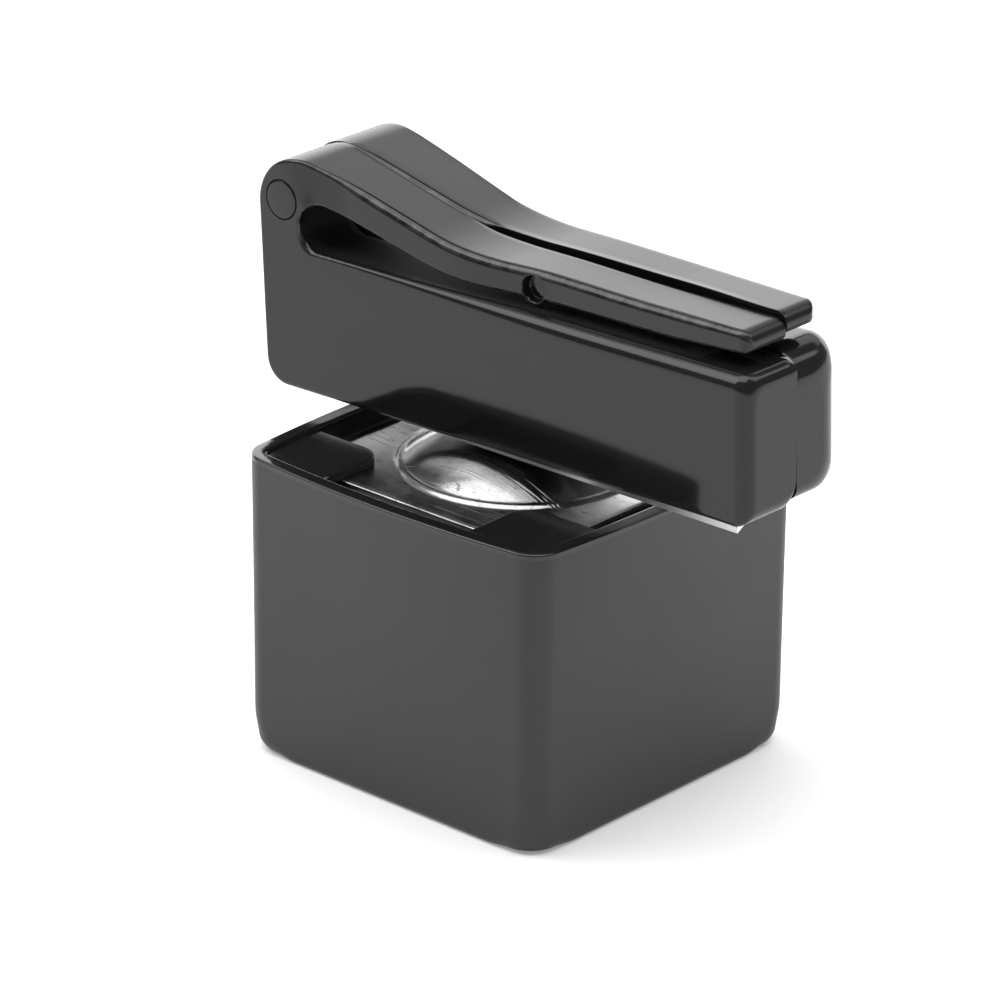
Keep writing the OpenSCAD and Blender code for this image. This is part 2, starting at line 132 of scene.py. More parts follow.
def arc(radius, start, end, steps):
    """Offsets along an arc about its own centre, from one angle in degrees to another."""
    angle = np.radians(np.linspace(start, end, steps))
    return radius * np.stack([np.cos(angle), np.sin(angle)], axis=-1)


def smooth(value, start, end):
    """Smooth step: 0 before start, 1 after end, and between them three t squared less two t cubed."""
    t = np.clip((value - start) / (end - start), 0, 1)
    return t * t * (3 - 2 * t)


def square_outline(half, corner):
    """Square with round corners: its points, their outward directions and how near each is to a corner.

    One side, with its points crowded to the ends by a sine, and one corner are turned four times.
    Nearness is 1 on a corner and falls to 0 along the side, over FOOT_FADE.
    """
    along = np.sin(np.linspace(-np.pi / 2, np.pi / 2, SIDE_STEPS, endpoint=False)) * (half - corner)
    bend = arc(1.0, 0, 90, CORNER_STEPS + 1)[:-1]
    side = np.stack([np.full_like(along, half), along], axis=-1)
    points = np.concatenate([side, half - corner + corner * bend])
    outward = np.concatenate([np.tile((1.0, 0.0), (SIDE_STEPS, 1)), bend])
    near = smooth(np.abs(along), half - corner - FOOT_FADE, half - corner)
    turns = np.array([[[1, 0], [0, 1]], [[0, 1], [-1, 0]], [[-1, 0], [0, -1]], [[0, -1], [1, 0]]])
    full = [np.concatenate([part @ turn for turn in turns]) for part in (points, outward)]
    return full[0], full[1], np.tile(np.concatenate([near, np.ones(CORNER_STEPS)]), 4)


def cup_ring(inset, height, bowed=1.0):
    """One ring of the cup, moved in from its outer wall by inset; inset and height may vary along it.

    Each side swells by a parabola that grows with height squared, and corners widen below GROWTH_HEIGHT.
    """
    grown = CUP_CORNER + CORNER_GROWTH * np.clip(1 - np.max(height) / GROWTH_HEIGHT, 0, 1)
    points, outward, near = square_outline(CUP_HALF, grown)
    flat = points - outward * np.broadcast_to(inset, near.shape)[:, None]
    level = np.broadcast_to(height, near.shape)
    swell = bowed * CUP_BOW * (level / CUP_HEIGHT) ** 2 / CUP_HALF
    return np.column_stack([flat * (1 + swell[:, None] * (1 - (flat[:, ::-1] / CUP_HALF) ** 2)), level])


# Moulded ABS with a fine sparked grain: a satin black that shows soft grey light, slightly uneven in
# gloss. The real grain is finer and is drawn this coarse to show. The rim and the tabs come from a
# polished part of the mould and are glossier.
GRAIN_MM = 0.22
GRAIN_DEPTH = 0.02
CLOUD_MM = 7.0
POLISH_FROM = 24.2
POLISH_TO = 24.35
cup_plastic, tree, surface, place = new_material("moulded_abs_satin_black")
grain = node(tree, "ShaderNodeTexNoise",
             {"Vector": place, "Scale": 1 / GRAIN_MM, "Detail": 3.0, "Roughness": 0.6})
cloud = node(tree, "ShaderNodeTexNoise",
             {"Vector": place, "Scale": 1 / CLOUD_MM, "Detail": 4.0, "Roughness": 0.6})
tone = node(tree, "ShaderNodeValToRGB", {"Fac": cloud.outputs["Fac"]})
tone.color_ramp.elements[0].position, tone.color_ramp.elements[0].color = 0.3, linear("#161617")
tone.color_ramp.elements[1].position, tone.color_ramp.elements[1].color = 0.75, linear("#1c1c1d")
gloss = node(tree, "ShaderNodeMapRange",
             {"Value": cloud.outputs["Fac"], "To Min": 0.4, "To Max": 0.52})
level = node(tree, "ShaderNodeSeparateXYZ", {"Vector": place})
polish = node(tree, "ShaderNodeMapRange",
              {"Value": level.outputs["Z"], "From Min": POLISH_FROM, "From Max": POLISH_TO,
               "To Min": gloss.outputs["Result"], "To Max": 0.14})
bump = node(tree, "ShaderNodeBump",
            {"Height": grain.outputs["Fac"], "Strength": 0.25, "Distance": GRAIN_DEPTH * MM})
tree.links.new(tone.outputs["Color"], surface.inputs["Base Color"])
tree.links.new(polish.outputs["Result"], surface.inputs["Roughness"])
tree.links.new(bump.outputs["Normal"], surface.inputs["Normal"])
surface.inputs["IOR"].default_value = 1.58

inner_half = CUP_HALF - CUP_WALL
shelf = [(CUP_WALL + LEDGE, PLATE_BOTTOM), (CUP_WALL, PLATE_BOTTOM + LEDGE_RISE)]
rim_in = (CUP_WALL - RIM_INNER_ROUND, CUP_HEIGHT - RIM_INNER_ROUND) + arc(RIM_INNER_ROUND, 0, 90, 6)
rim_out = (RIM_ROUND, CUP_HEIGHT - RIM_ROUND) + arc(RIM_ROUND, 90, 180, 6)
wall_foot = FOOT_CORNER_ROUND + WALL_ABOVE_FOOT
wall_heights = np.linspace(CUP_HEIGHT - RIM_ROUND, wall_foot, WALL_RINGS + 1)[1:]
wall = np.column_stack([np.zeros(WALL_RINGS), wall_heights])
cup_rings = [cup_ring(inset, z) for inset, z in np.concatenate([shelf, rim_in, rim_out, wall])]
corner_share = square_outline(CUP_HALF, CUP_CORNER + CORNER_GROWTH)[2]
foot_radius = FOOT_ROUND + (FOOT_CORNER_ROUND - FOOT_ROUND) * corner_share
cup_rings += [cup_ring(foot_radius * (1 - across), foot_radius * (1 - down))
              for across, down in arc(1.0, 0, 90, 9)]
foot_in = (CUP_WALL - INNER_ROUND, INNER_ROUND) + arc(INNER_ROUND, -90, 0, 4)
ceiling = [(CUP_WALL, FLOOR_BOTTOM - LEDGE), (CUP_WALL + LEDGE, FLOOR_BOTTOM)]
cup_rings += [cup_ring(inset, z, 0) for inset, z in np.concatenate([foot_in, ceiling])]
cup = ring_piece("cup_shell", np.array(cup_rings), cup_plastic)
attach(cup, "cup")
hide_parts("chalk_cup")


# Corner tabs: four flat ears moulded into the cup's corners, which hold the steel plate down.
# Each has a large round at its free corner and a small one along its top edge.
TAB_INNER = 7.3
TAB_OUTER = 14.35
TAB_ROUND = 2.0
TAB_BOTTOM = 23.74
TAB_TOP = 24.39
TAB_EDGE = 0.12


def tab_ring(inset, height):
    """Outline of a tab in the +X +Y corner, moved in by inset: two straight free edges and a round."""
    low = TAB_INNER + inset
    bend = (low + TAB_ROUND - inset) + arc(TAB_ROUND - inset, 270, 180, 10)
    steps = np.linspace(0, 1, 6)[:, None]
    up = bend[-1] + (np.array([low, TAB_OUTER]) - bend[-1]) * steps[1:]
    over = up[-1] + (np.array([TAB_OUTER, TAB_OUTER]) - up[-1]) * steps[1:]
    down = over[-1] + (np.array([TAB_OUTER, low]) - over[-1]) * steps[1:]
    flat = np.concatenate([bend, up, over, down])[::-1]
    return np.column_stack([flat, np.full(len(flat), height)])


tab_edge = (TAB_EDGE, TAB_TOP - TAB_EDGE) + arc(TAB_EDGE, 0, 90, 5) * (-1, 1)
tab_stack = np.array([tab_ring(0, TAB_BOTTOM)] + [tab_ring(inset, z) for inset, z in tab_edge])
for number, (sx, sy) in enumerate([(1, 1), (-1, 1), (-1, -1), (1, -1)]):
    placed = (tab_stack if sx * sy > 0 else tab_stack[:, ::-1]) * (sx, sy, 1)
    tab = ring_piece(f"corner_tab_{number + 1}", placed, cup_plastic)
    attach(tab, "cup")


# Grip ribs: upright ribs on the inside walls, two to a wall, sloped at the mouth so that a chalk
# cube pushes in between them. They are moulded with the cup.
RIB_COUNT = 8
RIB_FACE = 11.3
RIB_HALF = 0.6
RIB_PITCH = 12.0
RIB_FOOT = 1.6
RIB_LEAD = 3.0
RIB_START = 0.05
RIB_IN_WALL = 0.6
RIB_IN_FLOOR = 0.2


def rib_ring(reach, height):
    """Plan of a rib on the +X wall at one height: from inside the wall in to a half round at reach."""
    nose = (reach + RIB_HALF, 0) + arc(RIB_HALF, 90, 270, 9)
    root = np.array([(inner_half + RIB_IN_WALL, -RIB_HALF), (inner_half + RIB_IN_WALL, RIB_HALF)])
    flat = np.concatenate([nose, root])
    return np.column_stack([flat, np.full(len(flat), height)])


rib_heights = np.array([RIB_FOOT, RIB_FOOT + RIB_LEAD, FLOOR_BOTTOM + RIB_IN_FLOOR])
rib_reach = np.array([inner_half - RIB_START, RIB_FACE, RIB_FACE])
rib_stack = np.array([rib_ring(reach, z) for reach, z in zip(rib_reach, rib_heights)])
for number in range(RIB_COUNT):
    turn = np.radians(90 * (number // 2))
    shifted = rib_stack + (0, RIB_PITCH / 2 * (1 if number % 2 else -1), 0)
    spin = np.array([[np.cos(turn), np.sin(turn), 0], [-np.sin(turn), np.cos(turn), 0], [0, 0, 1]])
    rib = ring_piece(f"grip_rib_{number + 1}", shifted @ spin, cup_plastic)
    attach(rib, "cup")


# The steel plate: a square of sheet steel with a shallow dome and a fine bead round it pressed in its
# middle. It lies on the cup's floor under the corner tabs. The clip's magnet sits on the dome and has
# scratched it grey.
PLATE_HALF = 12.2
PLATE_EDGE = 0.14
PLATE_STEPS = 192
CORNER_REACH = 1.395 * PLATE_HALF
UNDER_STRIP = 1.5
DOME_FOOT = 9.5
DOME_RISE = 2.75
DOME_FILLET = 0.8
DOME_MIDDLE = 0.05
DOME_RINGS = 36
BEAD_AT = 9.38
BEAD_RISE = 0.15
BEAD_WIDTH = 0.23
BEAD_RINGS = 36
dome_radius = (DOME_FOOT ** 2 + DOME_RISE ** 2) / (2 * DOME_RISE)
fillet_at = np.sqrt((dome_radius + DOME_FILLET) ** 2 - (dome_radius - DOME_RISE + DOME_FILLET) ** 2)
dome_end = fillet_at * dome_radius / (dome_radius + DOME_FILLET)


def dome_height(r):
    """Height over the flat plate at radius r.

    A ball's cap runs through a hollow round into the flat, and a bell-shaped bead is added on it.
    """
    cap = DOME_RISE - dome_radius + np.sqrt(dome_radius ** 2 - np.minimum(r, dome_end) ** 2)
    hollow = DOME_FILLET - np.sqrt(DOME_FILLET ** 2 - np.clip(fillet_at - r, 0, fillet_at - dome_end) ** 2)
    return np.where(r < dome_end, cap, hollow) + BEAD_RISE * np.exp(-((r - BEAD_AT) / BEAD_WIDTH) ** 2)


around = np.linspace(0, 2 * np.pi, PLATE_STEPS, endpoint=False)
edge_reach = PLATE_HALF / np.maximum(np.abs(np.cos(around)), np.abs(np.sin(around)))
edge_reach = np.minimum(edge_reach, CORNER_REACH)
bead_start, bead_end = BEAD_AT - 3 * BEAD_WIDTH, BEAD_AT + 3 * BEAD_WIDTH
dome_radii = np.concatenate([np.linspace(DOME_MIDDLE, bead_start, DOME_RINGS),
                             np.linspace(bead_start, bead_end, BEAD_RINGS)[1:]])
dome_rings = dome_radii[:, None] * np.ones_like(around)
flat_share = np.linspace(0, 1, 8)[1:, None]
flat_rings = bead_end + (edge_reach - PLATE_EDGE - bead_end) * flat_share
plate_edge = arc(PLATE_EDGE, 90, 0, 5)
edge_rings = edge_reach - PLATE_EDGE + plate_edge[1:, :1]
radius = np.concatenate([dome_rings, flat_rings, edge_rings,
                         edge_reach[None], edge_reach[None] - UNDER_STRIP])
height = np.concatenate([dome_height(dome_rings), 0 * flat_rings,
                         plate_edge[1:, 1:] - PLATE_EDGE + 0 * edge_rings,
                         np.full((2, len(around)), PLATE_BOTTOM - PLATE_TOP)])
plate_rings = np.stack([radius * np.cos(around), radius * np.sin(around), PLATE_TOP + height], axis=-1)

# Cold-rolled steel, dulled by use: a mid grey mirror with hairline scratches, small dark pits and cloudy
# gloss, smoother on the dome than on the flat. Real scratches and pits are finer and are drawn this wide
# to show. A scratch has a direction in radians and a length.
SCRATCHES = ((0.5, 14.0), (1.9, 9.0), (-0.6, 11.0))
SCRATCH_MM = 0.25
PIT_MM = 0.8
PIT_DEPTH = 0.05
HAZE_MM = 3.5
SCUFFED_TO = PLATE_TOP + 0.02
RUBBED_FROM = PLATE_TOP + 0.4
plate_steel, tree, surface, place = new_material("cold_rolled_steel_scratched")
surface.inputs["Metallic"].default_value = 1.0
scratches = 0.0
for angle, length in SCRATCHES:
    turned = node(tree, "ShaderNodeMapping",
                  {"Vector": place, "Rotation": (0, 0, angle),
                   "Scale": (1 / length, 1 / SCRATCH_MM, 1 / length)})
    lines = node(tree, "ShaderNodeTexNoise",
                 {"Vector": turned.outputs[0], "Scale": 1.0, "Detail": 2.0})
    sharp = node(tree, "ShaderNodeMapRange",
                 {"Value": lines.outputs["Fac"], "From Min": 0.66, "From Max": 0.76})
    deeper = node(tree, "ShaderNodeMath", {0: scratches, 1: sharp.outputs[0]}, operation="MAXIMUM")
    scratches = deeper.outputs[0]
haze = node(tree, "ShaderNodeTexNoise",
            {"Vector": place, "Scale": 1 / HAZE_MM, "Detail": 6.0, "Roughness": 0.65})
specks = node(tree, "ShaderNodeTexNoise",
              {"Vector": place, "Scale": 1 / PIT_MM, "Detail": 4.0, "Roughness": 0.7})
pits = node(tree, "ShaderNodeMapRange",
            {"Value": specks.outputs["Fac"], "From Min": 0.6, "From Max": 0.74})
tone = node(tree, "ShaderNodeValToRGB", {"Fac": haze.outputs["Fac"]})
tone.color_ramp.elements[0].position, tone.color_ramp.elements[0].color = 0.3, linear("#8d8d8d")
tone.color_ramp.elements[1].position, tone.color_ramp.elements[1].color = 0.7, linear("#b4b4b4")
stained = node(tree, "ShaderNodeMixRGB",
               {"Fac": pits.outputs[0], "Color1": tone.outputs["Color"], "Color2": linear("#5a5a5a")})
rubbed_and_highlit = node(tree, "ShaderNodeMapRange",
              {"Value": haze.outputs["Fac"], "To Min": 0.08, "To Max": 0.24})
scuffed = node(tree, "ShaderNodeMapRange",
               {"Value": haze.outputs["Fac"], "To Min": 0.1, "To Max": 0.36})
level = node(tree, "ShaderNodeSeparateXYZ", {"Vector": place})
rough = node(tree, "ShaderNodeMapRange",
             {"Value": level.outputs["Z"], "From Min": SCUFFED_TO, "From Max": RUBBED_FROM,
              "To Min": scuffed.outputs[0], "To Max": rubbed_and_highlit.outputs[0]})
worn = node(tree, "ShaderNodeMath", {0: scratches, 1: 0.15, 2: rough.outputs[0]},
            operation="MULTIPLY_ADD")
dulled = node(tree, "ShaderNodeMapRange",
              {"Value": pits.outputs[0], "To Min": worn.outputs[0], "To Max": 0.35})
relief = node(tree, "ShaderNodeMath", {0: specks.outputs["Fac"], 1: 0.6, 2: scratches},
              operation="MULTIPLY_ADD")
bump = node(tree, "ShaderNodeBump",
            {"Height": relief.outputs[0], "Strength": 0.3, "Distance": PIT_DEPTH * MM})
tree.links.new(stained.outputs["Color"], surface.inputs["Base Color"])
tree.links.new(dulled.outputs[0], surface.inputs["Roughness"])
tree.links.new(bump.outputs["Normal"], surface.inputs["Normal"])
plate = ring_piece("domed_plate", plate_rings, plate_steel)
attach(plate, "cup")
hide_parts("strike_plate")


# The clip's two mouldings, front and rear: black plastic, each one piece from its base round the
# hump to the spring arm, with a slot between arm and base for a belt. They meet at a seam, and the
# rear one leans a little about the hump. Sizes are in the clip's own frame, which leans on the dome.
CLIP_TILT = np.radians(1.6)
CLIP_Z = 26.5464
CLIP_LEFT = -21.8
CLIP_RIGHT = 26.6
FRONT_Y = -5.3
REAR_Y = 6.3
REAR_LEAN = np.radians(0.55)
BASE_TOP = 11.65
# Edges of the base, whose rear half is rounder.
HEEL_ROUND = 2.0
HEEL_FADE = 8.0
LOWER_ROUND = 0.35
END_ROUND = 1.2
REAR_END_ROUND = 2.7
REAR_END_BACK = 0.09
REAR_LOWER_ROUND = 1.9
REAR_UPPER_ROUND = 1.6
UPPER_ROUND_FULL = 12.0
# The sole's recess under the base. It runs to another X in the front half than in the rear half.
RECESS = 1.0
RECESS_MARGIN = 0.47
RECESS_CLEAR = 0.04
RECESS_FROM = -19.4
RECESS_TO = (25.45, 23.85)
RECESS_STEP = 0.01
# The hump, with its front and rear edges, and the slot's round end below it, with the span of degrees in
# which its edge is broken wider.
HUMP = np.array([-18.2, 14.7])
HUMP_R = 4.0
HUMP_EDGE = (0.28, 0.18)
HUMP_SWELL = 0.12
SWELL_FROM = 77.0
SLOT = np.array([-16.1, 13.5])
SLOT_R = 1.85
SLOT_EDGE = 0.3
SLOT_BREAK = 0.25
BREAK_FROM = 185.0
BREAK_SPAN = 90.0
SPLIT_ROW = 12
# The spring arm, with its front and rear edges. A fade is the pair of X between which a size changes, and
# NEARLY stops the tip's rounds just short of upright.
ARM_START = -15.0
ARM_TIP = 25.3
ARM_TOP = 14.4
ARM_CROWN = 0.2
CROWN_FADE = (4.0, 16.0)
ARM_UNDER = 12.35
UNDER_LAG_END = -8.0
ARM_EDGE = (0.7, 0.18)
ARM_EDGE_FADE = (-16.5, -11.0)
OUTER_EDGE_SHARE = 0.35
INNER_EDGE_SHARE = 0.3
TOP_FALL = np.radians(14.6)
UNDER_FALL = np.radians(13.5)
TOP_BEND = 32.0
UNDER_BEND = 28.0
LEAD_LENGTH = 7.3
LEAD_RISE = 0.4
TIP_ROUND = 1.0
TIP_SIDE_ROUND = 0.8
NOSE_ROUND = 0.5
NEARLY = 0.999
EYE = np.array([4.7, 13.12])
EYE_BOSS = 1.25
EYE_HOLE = 1.0
EYE_RUN = 1.35
EYE_DEPTH = 0.8
EYE_EDGE = 0.06
EYE_SKIN = 0.1
# The seam, and the slit that it opens into between the arms. Each pair is where a change starts and ends:
# an X along the arm, or, for the seam's corner, a distance from the open end.
SEAM_Y = 0.5
SEAM_GAP = 0.006
SEAM_CUT = 0.04
SEAM_ROUND = 0.65
SEAM_ROUND_END = (-5.0, -2.5)
SEAM_CORNER = (2.5, 0.2)
SLIT_Y = 1.0
SLIT_HALF = 0.35
SLIT_SHIFTS = (-7.0, 1.0)
SLIT_OPENS = (-6.0, -2.0)
SLIT_CLOSES = (14.0, 24.0)
SLIT_RETURN = 0.4
SLIT_CLOSURE = 0.8
SLIT_LIP = 0.08
LIP_STARTS = (-4.0, 0.0)
LIP_ENDS = (18.0, 24.0)
# How far the arms' side faces are drawn in: twice by the same amount in front, and by (X, amount) behind.
FRONT_DRAW = 0.85
FRONT_DRAW_FROM = (-20.5, -4.0)
FRONT_DRAW_TO = (-13.5, 7.0)
REAR_DRAW = np.array([(-22.2, 0.0), (-20.0, -0.2), (-18.0, -0.3), (-16.0, -0.34), (-14.0, -0.2),
                      (-11.7, 0.0), (-9.4, 0.25), (-7.1, 0.5), (-4.8, 0.72), (2.0, 0.74), (8.4, 0.96),
                      (12.4, 1.06), (15.4, 1.2), (18.5, 1.45), (22.6, 1.78), (25.3, 1.98)])
# Points to a section: round an edge, along the outer and inner faces, and over the side face.
EDGE_STEPS = 8
WALK_STEPS = 9
FACE_STEPS = 34


def on_dome(x, y, z):
    """Points of the clip's own frame, set on the dome: a small turn about Y, then up."""
    return np.stack([x * np.cos(CLIP_TILT) - z * np.sin(CLIP_TILT), y,
                     CLIP_Z + x * np.sin(CLIP_TILT) + z * np.cos(CLIP_TILT)], axis=-1)


def leaned(x, z):
    """Points of the rear half, turned about the hump's centre by its lean."""
    dx, dz = x - HUMP[0], z - HUMP[1]
    return (HUMP[0] + dx * np.cos(REAR_LEAN) - dz * np.sin(REAR_LEAN),
            HUMP[1] + dx * np.sin(REAR_LEAN) + dz * np.cos(REAR_LEAN))


def bend_height(x, corner, level, fall, bend):
    """Height of a falling line that turns level at corner through an arc of radius bend."""
    run = bend * np.tan(fall / 2)
    sloped = level + (corner - x) * np.tan(fall)
    turn = level + bend - np.sqrt(np.maximum(bend ** 2 - (x - corner - run) ** 2, 0))
    return np.where(x < corner - run * np.cos(fall), sloped, np.where(x < corner + run, turn, level))


def arm_top(x):
    """Top of the arm: a fall from the hump, a bend to a level with a slight crown, and the tip's round."""
    start = HUMP + HUMP_R * np.array([np.sin(TOP_FALL), np.cos(TOP_FALL)])
    corner = start[0] + (start[1] - ARM_TOP - ARM_CROWN) / np.tan(TOP_FALL)
    over = np.clip(x - ARM_TIP + TIP_ROUND, 0, TIP_ROUND * NEARLY)
    line = bend_height(x, corner, ARM_TOP + ARM_CROWN, TOP_FALL, TOP_BEND)
    level = line - ARM_CROWN * smooth(x, *CROWN_FADE)
    return level - TIP_ROUND + np.sqrt(TIP_ROUND ** 2 - over ** 2)


def arm_under(x, eye):
    """Underside of the arm, from the hump to the tip.

    The slot's round end, a fall, the level, a straight lead-in, the tip's round and the eye's boss.
    """
    start = SLOT + SLOT_R * np.array([np.sin(UNDER_FALL), np.cos(UNDER_FALL)])
    corner = start[0] + (start[1] - ARM_UNDER) / np.tan(UNDER_FALL)
    line = bend_height(x, corner, ARM_UNDER, UNDER_FALL, UNDER_BEND)
    roof = SLOT[1] + np.sqrt(np.maximum(SLOT_R ** 2 - (x - SLOT[0]) ** 2, 0))
    lead = LEAD_RISE * np.clip((x - ARM_TIP + LEAD_LENGTH) / LEAD_LENGTH, 0, 1)
    over = np.clip(x - ARM_TIP + NOSE_ROUND, 0, NOSE_ROUND * NEARLY)
    nose = NOSE_ROUND - np.sqrt(NOSE_ROUND ** 2 - over ** 2)
    under = np.where(x < start[0], roof, line + lead + nose)
    boss = EYE[1] - np.sqrt(np.maximum(EYE_BOSS ** 2 - (x - EYE[0]) ** 2, 0))
    return np.where(eye & (np.abs(x - EYE[0]) < EYE_BOSS), np.minimum(under, boss), under)


def edge_profile(radius):
    """Offsets of a round edge from its two faces, EDGE_STEPS points to a row."""
    turn = np.radians(np.linspace(0, 90, EDGE_STEPS))
    return radius * (1 - np.cos(turn)), radius * (1 - np.sin(turn))


def loop_section(spine, side, eye):
    """Carries a section with round edges along the moulding, one section to a row of spine.

    A section starts at the seam, runs along the outer face (with the sole's recess), round the outer
    edge, across the side face, round the inner edge and along the inner face back to the seam.
    """
    outer, inner = spine["outer"][:, None], spine["inner"][:, None]
    column = {key: value[:, None] for key, value in spine.items()}
    low, pull, recess = column["pull_low"], column["pull_side"], column["recess"]
    depth = np.abs(column["face"] - column["seam"])
    high = np.linalg.norm(inner - outer, axis=-1) - column["pull_high"]
    outer_a, outer_b = edge_profile(column["outer_r"])
    inner_a, inner_b = edge_profile(column["inner_r"])
    seam_a, seam_b = edge_profile(column["seam_r"])
    walk = np.linspace(0, 1, WALK_STEPS)[1:]
    step = pull + np.maximum(outer_b[:, :1] + RECESS_CLEAR, RECESS_MARGIN)
    outer_from = depth - column["seam_r"]
    outer_walk = outer_from + (step + 2 * RECESS_STEP - outer_from) * walk
    inner_walk = pull + inner_b[:, :1] + (depth - SEAM_CUT - pull - inner_b[:, :1]) * walk
    face_from, face_to = low + outer_a[:, -1:], high - inner_a[:, -1:]
    face_walk = face_from + (face_to - face_from) * np.linspace(0, 1, FACE_STEPS)[1:-1]
    a = np.concatenate([low + recess + seam_b - column["lip"], low + recess + 0 * outer_walk, low,
                        low + outer_a, face_walk, high - inner_a[:, ::-1], high + 0 * inner_walk,
                        high - SEAM_CUT], axis=1)
    b = np.concatenate([depth - seam_a, outer_walk, step, pull + outer_b, pull + 0 * face_walk,
                        pull + inner_b[:, ::-1], inner_walk, depth], axis=1)
    flat = outer + (inner - outer) / np.linalg.norm(inner - outer, axis=-1, keepdims=True) * a[..., None]
    y = column["face"] - side * b
    if eye:
        away = np.hypot(flat[..., 0] - EYE[0], flat[..., 1] - EYE[1])
        pressed = 1 - smooth(away, EYE_HOLE - EYE_EDGE, EYE_HOLE + EYE_EDGE)
        y = y - side * EYE_DEPTH * pressed * (b < EYE_SKIN)
    return flat[..., 0], y, flat[..., 1]


def spine_of(outer, inner, **sizes):
    """Rows of a spine: the outer and inner edge lines, and each named size as one value to a row."""
    plain = {"pull_low": 0.0, "pull_high": 0.0, "pull_side": 0.0, "recess": 0.0, "seam_r": SEAM_CUT,
             "lip": 0.0}
    single = {key: np.broadcast_to(np.asarray(value, float), (len(outer),))
              for key, value in (plain | sizes).items()}
    return {"outer": outer, "inner": inner} | single


def joined(*spines):
    """Spines one after another."""
    return {key: np.concatenate([spine[key] for spine in spines]) for key in spines[0]}


def face_place(x, side, on_arm):
    """Where the side face lies: flush with the base, and drawn in along the arm towards its tip."""
    if side > 0:
        return REAR_Y - on_arm * np.interp(x, *REAR_DRAW.T)
    draws = sum(smooth(x, start, end) for start, end in zip(FRONT_DRAW_FROM, FRONT_DRAW_TO))
    return FRONT_Y + on_arm * FRONT_DRAW * draws


def end_pull(x, right, radius):
    """How far a round of this radius draws a face in near the open end at right."""
    return radius - np.sqrt(np.maximum(radius ** 2 - np.clip(x - right + radius, 0, radius) ** 2, 0))


